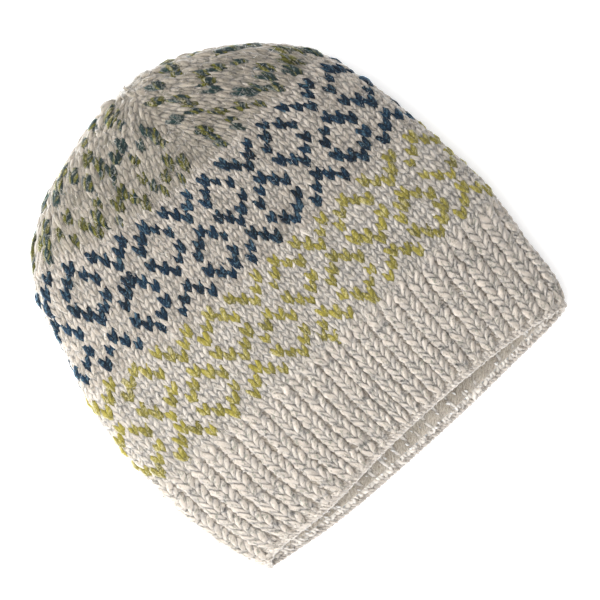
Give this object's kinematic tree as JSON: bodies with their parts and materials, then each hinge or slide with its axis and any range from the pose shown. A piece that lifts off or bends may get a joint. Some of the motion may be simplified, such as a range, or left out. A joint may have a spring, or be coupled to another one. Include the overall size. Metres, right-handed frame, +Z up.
{
  "type": "knit hat",
  "caption": "Stranded-knit wool hat lying on its back, with a ribbed band, a small geometric pattern and a gathered crown.",
  "frame": {"origin": "on the floor, under the middle of the lying hat's box", "axes": "+X across the hat to the right as seen from above with the crown away from the viewer, +Y from the mouth to the crown, +Z up from the floor"},
  "size_m": [0.2273, 0.2343, 0.038],
  "materials": {
    "grey_wool": "brushed heather knit",
    "blue_wool": "brushed knit",
    "lime_wool": "brushed knit",
    "marl_wool": "brushed two-strand knit"
  },
  "bodies": {
    "root": {"ribbed_band": "grey_wool", "patterned_body": "grey_wool", "crown": "grey_wool"}
  },
  "joints": []
}
